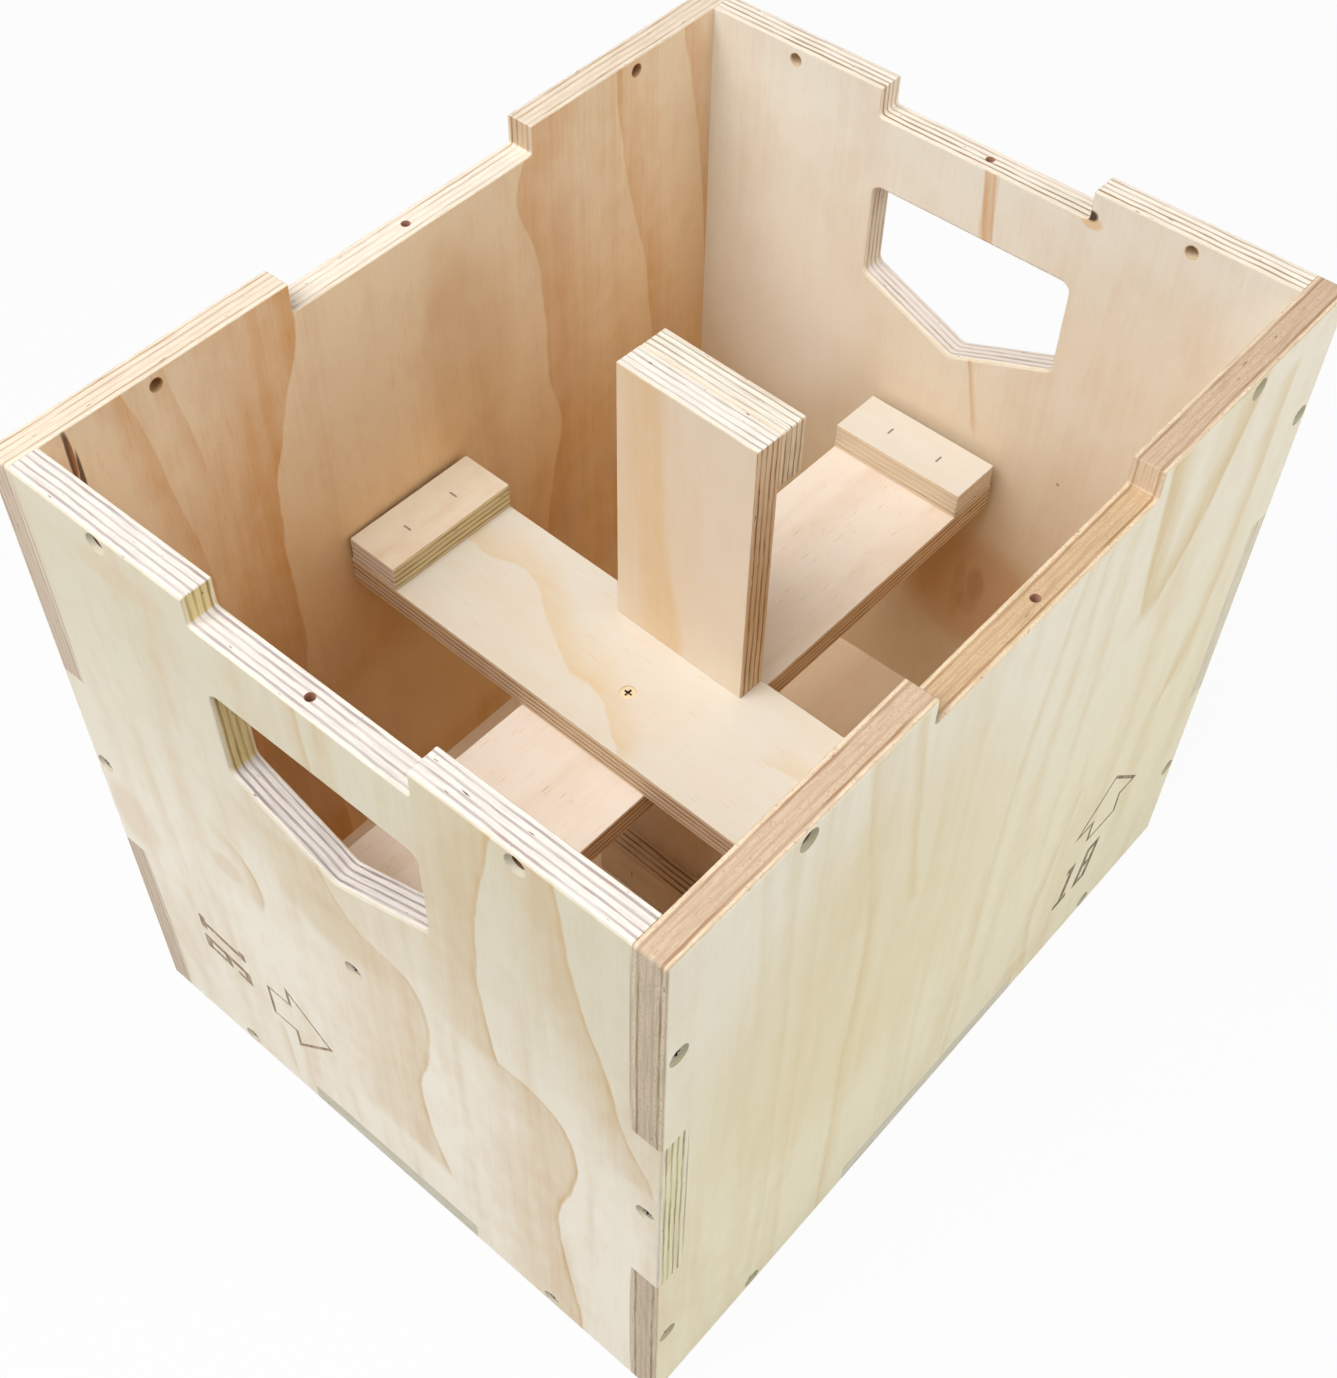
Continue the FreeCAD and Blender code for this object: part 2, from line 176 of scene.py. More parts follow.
def stain_and_light_patch(tree, across, along, middle, reach, strength):
    """Soft oval for a stain, a knot and a patch of painted light and shade."""
    squares = []
    for value, centre, radius in ((across, middle[0], reach[0]), (along, middle[1], reach[1])):
        step = add(tree, "Math", {0: value, 1: 1 / radius, 2: -centre / radius}, operation="MULTIPLY_ADD")
        squares.append(add(tree, "Math", {0: step, 1: step}, operation="MULTIPLY"))
    spread = add(tree, "Math", {0: squares[0], 1: squares[1]}, operation="ADD")
    return add(tree, "MapRange", {0: spread, 1: 1.0, 2: STAIN_CORE, 3: 0.0, 4: strength}, **SMOOTH)


def figured_veneer(tree, board, across, along, veneer):
    """Colour of one face veneer: pale early wood, late wood flames, fine fibres, resin flecks and stains,
    with patches and a foot of painted light and shade.
    """
    seed = veneer["seed"]
    bent = across
    for name, reach in (("bend", veneer["wander"]), ("kink", veneer["wander"] * KINK_SHARE)):
        shift = add(tree, "Math", {0: streaks(tree, board, name, seed), 1: 1 / 2}, operation="SUBTRACT")
        bent = add(tree, "Math", {0: shift, 1: reach, 2: bent}, operation="MULTIPLY_ADD")
    tone = patches(tree, board, "cloud", seed, 0.0, veneer["cloud"])
    for edge, side, fade, strength, span in veneer["flames"]:
        band = flame(tree, bent, along, edge, side, fade, strength, span, veneer["ring"], veneer["soft"])
        tone = add(tree, "Math", {0: tone, 1: band}, operation="MAXIMUM")
    grain = patches(tree, board, "grain", seed, *GRAIN_LEVELS)
    tone = add(tree, "Math", {0: tone, 1: grain}, operation="MULTIPLY")
    for name in ("fibre", "mottle"):
        change = patches(tree, board, name, seed, -veneer[name], veneer[name])
        tone = add(tree, "Math", {0: tone, 1: change}, operation="ADD")
    fleck = patches(tree, board, "fleck", seed, 0.0, veneer["fleck"])
    tone = add(tree, "Math", {0: tone, 1: fleck}, operation="ADD", use_clamp=True)
    early = linear(veneer["early"])
    # Painted light and shade at the foot of a face: towards the bottom the early wood gives way to the low
    # colour, paler on the outer left face where the floor lights it, darker and warmer on the inner faces
    if veneer["low"]:
        sunk = add(tree, "MapRange", {0: along, 1: FOOT_LIGHT_AND_SHADE_HEIGHTS[1], 2: FOOT_LIGHT_AND_SHADE_HEIGHTS[0]}, **SMOOTH)
        early = add(tree, "Mix", {0: sunk, 6: early, 7: linear(veneer["low"])}, **COLOUR)
    colour = add(tree, "Mix", {0: tone, 6: early, 7: linear(veneer["late"])}, **COLOUR)
    blush = patches(tree, board, "blush", seed, 0.0, veneer["blush"])
    colour = add(tree, "Mix", {0: blush, 6: colour, 7: linear(BLUSH)}, **COLOUR)
    for middle, reach, strength, code in veneer["stains_and_light_patches"]:
        line = across if reach[0] < JOINT_REACH else bent
        spot = stain_and_light_patch(tree, line, along, middle, reach, strength)
        colour = add(tree, "Mix", {0: spot, 6: colour, 7: linear(code)}, **COLOUR)
    return colour


# Plywood, a solid stack of plies with a figured veneer on each face

PLY_PITCH = 3.8
FIRST_LINE = 3.1
LINE_CORE = 0.35
LINE_REACH = (0.5, 1.45)
LINE_FAINT = 0.45
PLY_DRIFT = 1.5
SKIN = 2.2
SKIN_BLEND = 0.4
RUST = "A0705C"
RUST_SHARE = 0.6
END_FACING = (0.4, 0.6)
OPENING_HALF = 125.0
OPENING_BLEND = 5.0


def shade_pair(tree, share, first, second):
    """Pale and dark shade, each blended from the first pair to the second."""
    pairs = []
    for one, other in zip(first, second):
        pairs.append(add(tree, "Mix", {0: share, 6: one, 7: other}, **COLOUR))
    return pairs


def cut_edge(tree, board, place, along_axis, edges, seed):
    """Colour of a cut edge: pale plies, thin dark broken lines of the cross plies, and a few open voids."""
    across, depth, along = place
    drift = streaks(tree, board, "ply_drift", seed)
    start = PLY_PITCH / 2 - FIRST_LINE - PLY_DRIFT / 2
    moved = add(tree, "Math", {0: drift, 1: PLY_DRIFT, 2: depth}, operation="MULTIPLY_ADD")
    turns = add(tree, "Math", {0: moved, 1: 1 / PLY_PITCH, 2: start / PLY_PITCH}, operation="MULTIPLY_ADD")
    gap = add(tree, "Math", {0: turns}, operation="FRACT")
    gap = add(tree, "Math", {0: gap, 1: 1 / 2}, operation="SUBTRACT")
    gap = add(tree, "Math", {0: gap}, operation="ABSOLUTE")
    reach = patches(tree, board, "line_width", seed, LINE_REACH[0] / PLY_PITCH, LINE_REACH[1] / PLY_PITCH)
    line = add(tree, "MapRange", {0: gap, 1: reach, 2: LINE_CORE / PLY_PITCH, 3: 0.0, 4: 1.0}, **SMOOTH)
    broken = patches(tree, board, "line_breaks", seed, LINE_FAINT, 1.0)
    line = add(tree, "Math", {0: line, 1: broken}, operation="MULTIPLY")
    weight = edges["lines"][0]
    for number, (before, after) in enumerate(zip(edges["lines"], edges["lines"][1:])):
        past = add(tree, "Math", {0: turns, 1: number + 1.0}, operation="GREATER_THAN")
        weight = add(tree, "Math", {0: past, 1: after - before, 2: weight}, operation="MULTIPLY_ADD")
    line = add(tree, "Math", {0: line, 1: weight}, operation="MULTIPLY")
    normal = add(tree, "NewGeometry", {}, out="True Normal")
    facing = add(tree, "VectorMath", {0: normal, 1: along_axis}, out=1, operation="DOT_PRODUCT")
    facing = add(tree, "Math", {0: facing}, operation="ABSOLUTE")
    facing = add(tree, "MapRange", {0: facing, 1: END_FACING[0], 2: END_FACING[1]}, **SMOOTH)
    shades = {kind: [linear(code) for code in edges[kind]] for kind in ("end", "side", "jamb", "sill")}
    middle = add(tree, "Math", {0: across}, operation="ABSOLUTE")
    opening = add(tree, "MapRange", {0: middle, 1: OPENING_HALF + OPENING_BLEND, 2: OPENING_HALF})
    low = add(tree, "MapRange", {0: along, 1: edges["sill_top"] + OPENING_BLEND, 2: edges["sill_top"]})
    low = add(tree, "Math", {0: low, 1: opening}, operation="MULTIPLY")
    ends = shade_pair(tree, low, shades["end"], shades["sill"])
    sides = shade_pair(tree, opening, shades["side"], shades["jamb"])
    pale, dark = shade_pair(tree, facing, sides, ends)
    rim = add(tree, "Math", {0: depth, 1: SHEET / 2}, operation="SUBTRACT")
    rim = add(tree, "Math", {0: rim}, operation="ABSOLUTE")
    skin = SHEET / 2 - SKIN
    rim = add(tree, "MapRange", {0: rim, 1: skin, 2: skin + SKIN_BLEND, 3: 0.0, 4: edges["rim"]})
    pale = add(tree, "Mix", {0: rim, 6: pale, 7: linear(edges["skin"])}, **COLOUR)
    grain = patches(tree, board, "edge_grain", seed, 0.0, edges["grain"])
    speck = patches(tree, board, "edge_speck", seed, 0.0, edges["speck"])
    share = add(tree, "Math", {0: line, 1: grain}, operation="MAXIMUM")
    share = add(tree, "Math", {0: share, 1: speck}, operation="MAXIMUM")
    tint = patches(tree, board, "rust", seed, 0.0, RUST_SHARE)
    dark = add(tree, "Mix", {0: tint, 6: dark, 7: linear(RUST)}, **COLOUR)
    colour = add(tree, "Mix", {0: share, 6: pale, 7: dark}, **COLOUR)
    void = patches(tree, board, "voids", seed, 0.0, 1.0)
    return add(tree, "Mix", {0: void, 6: colour, 7: linear(edges["void"])}, **COLOUR)


CONE_TILT = math.cos(math.radians(45))
CONE_RANGE = (0.05, 0.03)
CONE_DEPTHS = (2.2, 2.5)
HOLE_HEIGHT = 449.6
HOLE_REACH = (4.3, 4.1)
PILOT_REACH = (2.75, 2.65)
PILOT_LOW = 405.0
# Colour of painted shade in the pilot holes
PILOT_SHADE = "BE9078"


def bored(tree, place, tilt, edges, colour):
    """Colour with the cones of countersunk holes rubbed dull, and painted shade in the bores of empty holes
    and pilots.
    """
    across, depth, along = place
    off = add(tree, "Math", {0: tilt, 1: CONE_TILT}, operation="SUBTRACT")
    off = add(tree, "Math", {0: off}, operation="ABSOLUTE")
    cone = add(tree, "MapRange", {0: off, 1: CONE_RANGE[0], 2: CONE_RANGE[1]})
    colour = add(tree, "Mix", {0: cone, 6: colour, 7: linear(edges["bore"])}, **COLOUR)
    if "hole" not in edges:
        return colour
    # Painted shade in the bore of each empty hole, below its cone
    aside = add(tree, "Math", {0: across}, operation="ABSOLUTE")
    aside = add(tree, "Math", {0: aside, 1: edges["hole"]}, operation="SUBTRACT")
    above = add(tree, "Math", {0: along, 1: HOLE_HEIGHT}, operation="SUBTRACT")
    offset = add(tree, "CombineXYZ", {0: aside, 1: above})
    radius = add(tree, "VectorMath", {0: offset}, out=1, operation="LENGTH")
    shaft = add(tree, "MapRange", {0: radius, 1: HOLE_REACH[0], 2: HOLE_REACH[1]})
    inside = add(tree, "MapRange", {0: depth, 1: CONE_DEPTHS[0], 2: CONE_DEPTHS[1]})
    shaft = add(tree, "Math", {0: shaft, 1: inside}, operation="MULTIPLY")
    colour = add(tree, "Mix", {0: shaft, 6: colour, 7: linear(edges["shaft"])}, **COLOUR)
    # Painted shade in the pilot holes in the top edges
    sunk = add(tree, "Math", {0: depth, 1: SHEET / 2}, operation="SUBTRACT")
    offset = add(tree, "CombineXYZ", {0: across, 1: sunk})
    radius = add(tree, "VectorMath", {0: offset}, out=1, operation="LENGTH")
    pilot = add(tree, "MapRange", {0: radius, 1: PILOT_REACH[0], 2: PILOT_REACH[1]})
    high = add(tree, "Math", {0: along, 1: PILOT_LOW}, operation="GREATER_THAN")
    pilot = add(tree, "Math", {0: pilot, 1: high}, operation="MULTIPLY")
    return add(tree, "Mix", {0: pilot, 6: colour, 7: linear(PILOT_SHADE)}, **COLOUR)


SCORCH_DEPTHS = (0.1, 0.2)
SCORCH_END = (0.6, 0.5)
SCORCH_BLEND = 1.0
SCORCH_FAINT = 0.62


def scorch(tree, board, place, mark, seed):
    """Share of laser burn: the floor of the shallow mark, uneven where the late wood took the beam less."""
    across, depth, along = place
    low, high = mark
    inside = add(tree, "MapRange", {0: depth, 1: SCORCH_DEPTHS[0], 2: SCORCH_DEPTHS[1]})
    limits = [(depth, *SCORCH_END)]
    for value, start, end in ((across, low[0], high[0]), (along, low[1], high[1])):
        limits += [(value, start, start + SCORCH_BLEND), (value, end, end - SCORCH_BLEND)]
    for value, start, end in limits:
        limit = add(tree, "MapRange", {0: value, 1: start, 2: end})
        inside = add(tree, "Math", {0: inside, 1: limit}, operation="MULTIPLY")
    uneven = patches(tree, board, "burn", seed, 1.0, SCORCH_FAINT)
    return add(tree, "Math", {0: inside, 1: uneven}, operation="MULTIPLY")


FACE_TILT = (0.8, 0.95)
WOOD_ROUGHNESS = (0.55, 0.75)
WOOD_SHEEN = 0.25
RELIEF_STRENGTH = 0.25
RELIEF_HEIGHT = 0.3


def plywood(name, lay, outer, inner, edges, seed, mark=None):
    """Sanded softwood plywood: matt pale faces with soft tan flames, and fine dark lines on the cut edges."""
    across_axis, depth_axis, along_axis, start = lay
    material = new_material(name)
    tree = material.node_tree
    point = add(tree, "TexCoord", {}, out="Object")
    across = measure(tree, point, across_axis, start)
    depth = measure(tree, point, depth_axis, start)
    along = measure(tree, point, along_axis, start)
    place = (across, depth, along)
    board = add(tree, "CombineXYZ", {0: across, 1: depth, 2: along})
    near = figured_veneer(tree, board, across, along, outer)
    far = figured_veneer(tree, board, across, along, inner)
    half = add(tree, "Math", {0: depth, 1: SHEET / 2}, operation="GREATER_THAN")
    face = add(tree, "Mix", {0: half, 6: near, 7: far}, **COLOUR)
    normal = add(tree, "NewGeometry", {}, out="True Normal")
    flat = add(tree, "VectorMath", {0: normal, 1: depth_axis}, out=1, operation="DOT_PRODUCT")
    tilt = add(tree, "Math", {0: flat}, operation="ABSOLUTE")
    flat = add(tree, "MapRange", {0: tilt, 1: FACE_TILT[0], 2: FACE_TILT[1]})
    edge = cut_edge(tree, board, place, along_axis, edges, seed)
    colour = add(tree, "Mix", {0: flat, 6: edge, 7: face}, **COLOUR)
    colour = bored(tree, place, tilt, edges, colour)
    if mark:
        limits, char = mark
        burnt = scorch(tree, board, place, limits, seed)
        colour = add(tree, "Mix", {0: burnt, 6: colour, 7: linear(char)}, **COLOUR)
    grit = streaks(tree, board, "grit", seed)
    rough = patches(tree, board, "grit", seed, *WOOD_ROUGHNESS)
    bump = add(tree, "Bump", {"Strength": RELIEF_STRENGTH, "Distance": RELIEF_HEIGHT / METRE, "Height": grit})
    shader = add(tree, "BsdfPrincipled", {"Base Color": colour, "Roughness": rough, "Normal": bump,
                                          "Specular IOR Level": WOOD_SHEEN})
    add(tree, "OutputMaterial", {"Surface": shader})
    return material


# Figure of each veneer. A flame is the ring that it ends on, as heights and places across, the side that it
# fades to, how far it fades, how strong it is and the stretch of the board that it runs over. A stain, and
# likewise a patch of painted light and shade, is its middle, how far it reaches across and along, how strong
# it is and its colour

FLAMES_LEFT_OUTER = [
    ([(0, 66), (20, 65), (67, 52), (117, 42), (150, 40), (200, 50), (242, 52), (270, 42), (277, 12),
      (312, -10)], -1, 112, 0.64, (75, 305)),
    ([(262, 104), (307, 97), (357, 97), (397, 100), (430, 108), (457, 114)], -1, 64, 0.68, (264, 480)),
    ([(0, 150), (32, 147), (67, 142), (107, 137), (147, 137), (187, 147), (222, 152), (245, 146),
      (254, 138), (262, 100)], -1, 84, 0.74, (0, 260)),
    ([(255, 199), (262, 197), (292, 182), (337, 172), (382, 157), (432, 150), (457, 148)], -1, 46, 0.68,
     (258, 480)),
    ([(395, 2), (457, -2)], -1, 16, 0.5, (390, 480)),
    ([(20, -82), (70, -86)], -1, 12, 0.35, (25, 62)),
    ([(210, -72), (235, -70), (250, -78), (262, -90)], -1, 26, 0.6, (220, 252)),
]
JOINT_HEIGHTS = (381, 76)
JOINT_LINE = (0.7, 82)
END_JOINT = 185.2
STAINS_LEFT_OUTER = [
    ((-96, 226), (14, 14), 0.4, "E2C9A6"),
    ((-8, 262), (44, 28), 0.35, "D8BE92"),
    ((-182, 190), (24, 36), 0.4, "E6CDB0"),
    ((-118, 434), (40, 12), 0.35, "E0C8A4"),
] + [((side * END_JOINT, height), JOINT_LINE, 0.5, "8A775E")
     for side in (1, -1) for height in JOINT_HEIGHTS]
FLAMES_FRONT_OUTER = [
    ([(0, -172), (200, -168), (457, -176)], -1, 14, 0.28, None),
    ([(0, -150), (150, -152), (300, -152), (457, -155)], -1, 16, 0.3, None),
    ([(0, -196), (150, -194), (240, -200), (330, -196), (457, -200)], 1, 16, 0.2, None),
    ([(0, -112), (200, -113), (290, -112), (357, -118), (417, -127), (457, -131)], 1, 16, 0.5, None),
    ([(290, -70), (307, -72), (357, -80), (417, -88), (457, -92)], -1, 12, 0.5, (300, 480)),
    ([(332, 118), (345, 108), (357, 105), (400, 99), (432, 96), (457, 92)], 1, 30, 0.75, (345, 480)),
    ([(332, 122), (347, 132), (372, 148), (402, 161), (432, 172), (457, 178)], -1, 40, 0.75, (345, 480)),
    ([(150, 168), (205, 186), (232, 200), (257, 206), (300, 212), (360, 214), (417, 213), (457, 216)], -1,
     24, 0.5, (205, 430)),
    ([(0, 106), (37, 98), (77, 91), (130, 98), (177, 106), (250, 104)], -1, 18, 0.4, (0, 190)),
    ([(0, 8), (100, 10), (200, 8), (332, 14), (432, 28), (457, 30)], 1, 11, 0.35, None),
    ([(0, 40), (347, 44), (457, 47)], 1, 12, 0.3, (330, 430)),
    ([(0, -30), (150, -36), (300, -34), (457, -44)], -1, 10, 0.2, None),
]
STAINS_FRONT_OUTER = [
    ((-110, 280), (150, 175), 0.3, "DCC991"),
    ((84, 25), (24, 16), 0.35, "DCC89A"),
    ((196, 232), (14, 30), 0.3, "DCC89A"),
    ((-236, 229), JOINT_LINE, 0.55, "857A55"),
]
FLAMES_BACK_INNER = [
    ([(20, -112), (120, -118), (180, -121), (230, -117), (300, -118), (350, -113), (370, -105), (395, -98),
      (420, -88), (457, -85)], -1, 85, 0.68, None),
    ([(17, -175), (300, -165), (400, -178), (457, -190)], -1, 22, 0.5, None),
    ([(17, -140), (250, -145), (350, -150), (457, -165)], -1, 18, 0.42, None),
    ([(17, 83), (150, 83), (200, 93), (240, 100), (280, 91), (330, 90), (380, 84), (400, 75), (420, 71),
      (440, 78), (457, 84)], 1, 66, 0.6, None),
    ([(200, 190), (300, 180), (350, 170), (400, 158), (440, 154), (457, 153)], 1, 34, 0.5, None),
    ([(200, 246), (300, 235), (400, 222), (457, 212)], 1, 26, 0.48, None),
]
# The wide pale patch low in the middle is painted light on the shaded foot of the wall; the others are stains
# and dark marks of the wood
STAINS_AND_PAINTED_LIGHT_BACK_INNER = [
    ((16, 398), (22, 38), 0.22, "D8B080"),
    ((28, 335), (44, 90), 0.3, "CFA066"),
    ((-20, 100), (160, 75), 0.5, "FFE2B8"),
    ((-221.5, 441), (2.2, 22), 0.9, "4A2A14"),
    ((-218.5, 428), (1.6, 18), 0.9, "4A2A14"),
    ((-220.6, 439), (1.1, 14), 0.7, "B87038"),
]
FLAMES_RIGHT_INNER = [
    ([(17, 60), (200, 75), (457, 95)], 1, 55, 0.12, None),
    ([(397, 8), (440, 3)], 1, 9, 0.7, (385, 460)),
    ([(397, 14.5), (440, 10)], -1, 4, 0.7, (385, 460)),
    ([(262, 24), (315, 13)], 1, 6, 0.6, (275, 325)),
]
# The first three are painted light and shade: a pale patch lifting the shade near the back corner, a tan
# patch of painted shade from the front wall near the front corner, and an orange patch of warm painted shade
# low in the box. The rest are knots and streaks of the wood
STAINS_AND_PAINTED_LIGHT_RIGHT_INNER = [
    ((-125, 285), (75, 95), 0.45, "F8F3E8"),
    ((110, 380), (70, 70), 0.2, "DCC4A0"),
    ((50, 135), (75, 60), 0.5, "CC9658"),
    ((9, 415), (5, 45), 0.4, "D9AE7A"),
    ((70, 439), (8, 5), 0.55, "E2B468"),
    ((69, 443), (4.5, 4), 0.95, "43260F"),
    ((86, 260), (1.5, 1.5), 0.6, "8A6848"),
    ((48, 144), (8, 18), 0.3, "94581E"),
    ((44, 124), (10, 13), 0.2, "A0662C"),
    ((36, 132), (6, 36), 0.18, "A8743F"),
]
FLAMES_PLAIN = [
    ([(0, -120), (150, -128), (300, -110), (457, -118)], -1, 50, 0.4, None),
    ([(0, 40), (120, 60), (260, 52), (457, 80)], 1, 45, 0.4, None),
    ([(0, 150), (200, 162), (330, 148), (457, 140)], -1, 30, 0.3, None),
]
FLAMES_CROSS_TOP = [
    ([(-60, -62), (-19, -42), (16, -20), (38, -17), (61, -7), (83, 5), (95, 14), (106, 17), (125, 11),
      (141, 10), (160, 14)], 1, 30, 0.62, (-20, 200)),
    ([(-186, 20), (-120, 8), (-60, 0)], 1, 22, 0.5, (-190, -90)),
]
FLAMES_POST = [
    ([(250, 2), (295, -1), (330, -8), (380, -12), (425, -14), (445, -15)], -1, 60, 0.6, None),
]


def veneer(early, late, seed, flames=(), stains_and_light_patches=(), ring=0.3, cloud=0.15, wander=7.0, fibre=0.03,
           mottle=0.05, fleck=0.12, blush=0.15, soft=0.9, low=None):
    """Look of one veneer: its early and late wood, its figure, and how strong each pattern in it is."""
    return {"early": early, "late": late, "flames": flames, "stains_and_light_patches": stains_and_light_patches, "ring": ring, "cloud": cloud,
            "wander": wander, "fibre": fibre, "mottle": mottle, "fleck": fleck, "blush": blush,
            "soft": soft, "low": low, "seed": seed}


# Cut edges: the pale and the dark colour where the cut is across the grain, where it is along it, on the
# sides and on the sills of openings, how strong each line is from the outside in, the outermost plies, the
# cones of screw holes, half the distance between the empty holes, and the painted shade in their bores

END_HOLES_HALF = 126.4
LONG_HOLES_HALF = 170.2
HAND_HOLE_TOP = 400
SEAT_TOP = 445

# The left wall's hand-hole sill is greyer and darker than its other cut edges: the grey lines are the wood's
# own, and the darker tone is painted shade under the top of the opening
LEFT_EDGES = {
    "end": ("E7DFD6", "AA9E9C"), "side": ("EDE3BE", "91875F"), "jamb": ("E6D49C", "A48C54"),
    "sill": ("E0D8D2", "8A807C"), "sill_top": HAND_HOLE_TOP, "lines": (0.9, 0.9, 0.9, 1.0),
    "skin": "EEE6D8", "rim": 0.6, "grain": 0.3, "speck": 0.15, "void": "6B5140",
    "bore": "CEC4AE", "hole": END_HOLES_HALF, "shaft": "7C5842"}
RIGHT_EDGES = {
    "end": ("F4EADB", "9E8262"), "side": ("E2DAC2", "C6BDA4"), "jamb": ("EADCC6", "B09070"),
    "sill": ("F0E6DC", "BCAC9E"), "sill_top": HAND_HOLE_TOP, "lines": (0.7, 0.75, 1.0, 1.0),
    "skin": "EEE0CA", "rim": 0.7, "grain": 0.2, "speck": 0.1, "void": "6B5140",
    "bore": "C6BE9E", "hole": END_HOLES_HALF, "shaft": "E1CBAA"}
FRONT_EDGES = {
    "end": ("CCB49A", "A07E5E"), "side": ("D6C4AC", "92805F"), "jamb": ("E8D2B4", "BF9D78"),
    "sill": ("CDB08C", "A07C56"), "sill_top": SEAT_TOP, "lines": (1.0, 0.45, 0.35, 0.9),
    "skin": "E9D5B8", "rim": 0.8, "grain": 0.45, "speck": 0.5, "void": "7A583C",
    "bore": "B8B092", "hole": LONG_HOLES_HALF, "shaft": "A88A68"}
BACK_EDGES = {
    "end": ("E8D8C4", "B79A79"), "side": ("D8C6B0", "B7A28C"), "jamb": ("D9C0A0", "94724C"),
    "sill": ("F2E6D6", "C0A688"), "sill_top": SEAT_TOP, "lines": (0.9, 0.7, 0.45, 0.85),
    "skin": "ECDFCB", "rim": 0.7, "grain": 0.35, "speck": 0.2, "void": "8A6A50",
    "bore": "C6BE9E", "hole": LONG_HOLES_HALF, "shaft": "CCA67C"}


def even_edges(end, side, **rest):
    """Cut edges of a board with no opening."""
    return {"end": end, "side": side, "sill": end, "jamb": side, "sill_top": 0, **rest}


PANEL_EDGES = even_edges(
    ("E4DECA", "A8A28C"), ("E4DECA", "A8A28C"), lines=(0.8, 0.8, 0.8, 0.8), skin="E4DECA", rim=0.5,
    grain=0.3, speck=0.2, void="6B5140", bore="94866E")
STRIP_LOOK = {"lines": (0.9, 0.9, 0.9, 0.9), "skin": "E6D2B4", "rim": 0.4, "grain": 0.25, "speck": 0.15,
              "void": "5E432C", "bore": "8A6A45"}
STRIP_END = ("F0E8DD", "B0A398")
STRIP_EDGES = even_edges(STRIP_END, ("E2CCAE", "866649"), **STRIP_LOOK)
POST_CLEAT_EDGES = even_edges(("E6D9C0", "94805E"), ("EFE8DA", "AF9C82"), **{**STRIP_LOOK, "grain": 0.4})
BACK_CLEAT_EDGES = even_edges(STRIP_END, ("E2D2A4", "86703E"), **STRIP_LOOK)
RIGHT_CLEAT_LOOK = {**STRIP_LOOK, "lines": (0.35, 0.4, 0.5, 0.9)}
RIGHT_CLEAT_EDGES = even_edges(STRIP_END, ("E6D6BE", "B4966E"), **RIGHT_CLEAT_LOOK)


def skewed(degrees):
    """Directions across and along a strip that lies a little askew."""
    turn = math.radians(degrees)
    return Vector((math.cos(turn), -math.sin(turn), 0)), Vector((math.sin(turn), math.cos(turn), 0))


def level_of(node):
    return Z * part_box(node)[1].z * METRE


def dress(node, material):
    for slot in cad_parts[node].material_slots:
        slot.material = material


# Stretch of each wall that a burned mark lies in, and the colour of the burn
FRONT_MARK = (((112, 45), (205, 165)), "624E33")
LEFT_MARK = (((-152, 50), (-30, 142)), "927456")

WALL_SEED = 20.0
STRIP_SEED = 30.0


def dress_walls():
    # The low colours are painted light and shade at the foot of each face
    left_outer = veneer("E6DEC6", "CFA663", 1.0, flames=FLAMES_LEFT_OUTER, stains_and_light_patches=STAINS_LEFT_OUTER,
                        ring=0.36, cloud=0.27, wander=8.0, blush=0.08, low="FFF7E6")
    front_outer = veneer("EEE7D3", "D4B87E", 2.0, flames=FLAMES_FRONT_OUTER, stains_and_light_patches=STAINS_FRONT_OUTER,
                         ring=0.1, cloud=0.3, wander=7.0, blush=0.05, soft=2.8, low="EEE6C8")
    back_inner = veneer("EED8B8", "D29650", 3.0, flames=FLAMES_BACK_INNER, stains_and_light_patches=STAINS_AND_PAINTED_LIGHT_BACK_INNER,
                        ring=0.05, cloud=0.2, wander=7.0, fibre=0.05, mottle=0.08, fleck=0.2, low="EEC58E")
    right_inner = veneer("EFECE0", "CE9F68", 4.0, flames=FLAMES_RIGHT_INNER, stains_and_light_patches=STAINS_AND_PAINTED_LIGHT_RIGHT_INNER,
                         ring=0.2, cloud=0.12, wander=4.0, low="E2CFB0")
    back_outer = veneer("ECE4CC", "D0A96E", 13.0, flames=FLAMES_BACK_INNER, ring=0.3, cloud=0.25,
                        wander=8.0)
    right_outer = veneer("ECE4CC", "D0A96E", 14.0, flames=FLAMES_LEFT_OUTER, ring=0.4, cloud=0.25,
                         wander=10.0)
    plain_outer = veneer("E8E1CC", "D4B88C", 5.0, flames=FLAMES_PLAIN, ring=0.3, cloud=0.2, wander=10.0)
    plain_inner = veneer("F0D0A0", "C8924E", 6.0, flames=FLAMES_PLAIN, ring=0.1, cloud=0.2, wander=10.0,
                         low="ECBB78")
    floor_face = veneer("FDECD0", "DCB07A", 11.0, flames=FLAMES_PLAIN, ring=0.1, cloud=0.2, wander=10.0)
    walls = {
        "front_long_side": ((X, Y, Z, Y * BOX_LOW.y), front_outer, plain_inner, FRONT_EDGES, FRONT_MARK),
        "back_long_side": ((X, -Y, Z, Y * BOX_HIGH.y), back_outer, back_inner, BACK_EDGES, None),
        "left_end": ((-Y, X, Z, X * BOX_LOW.x), left_outer, plain_inner, LEFT_EDGES, LEFT_MARK),
        "right_end": ((-Y, -X, Z, X * BOX_HIGH.x), right_outer, right_inner, RIGHT_EDGES, None),
        "bottom_panel": ((Y, -Z, X, Z * SHEET), floor_face, plain_outer, PANEL_EDGES, None),
    }
    for number, (node, (lay, outer, inner, edges, mark)) in enumerate(walls.items()):
        name = "sanded_pine_plywood_" + node
        dress(node, plywood(name, lay, outer, inner, edges, WALL_SEED + number, mark))


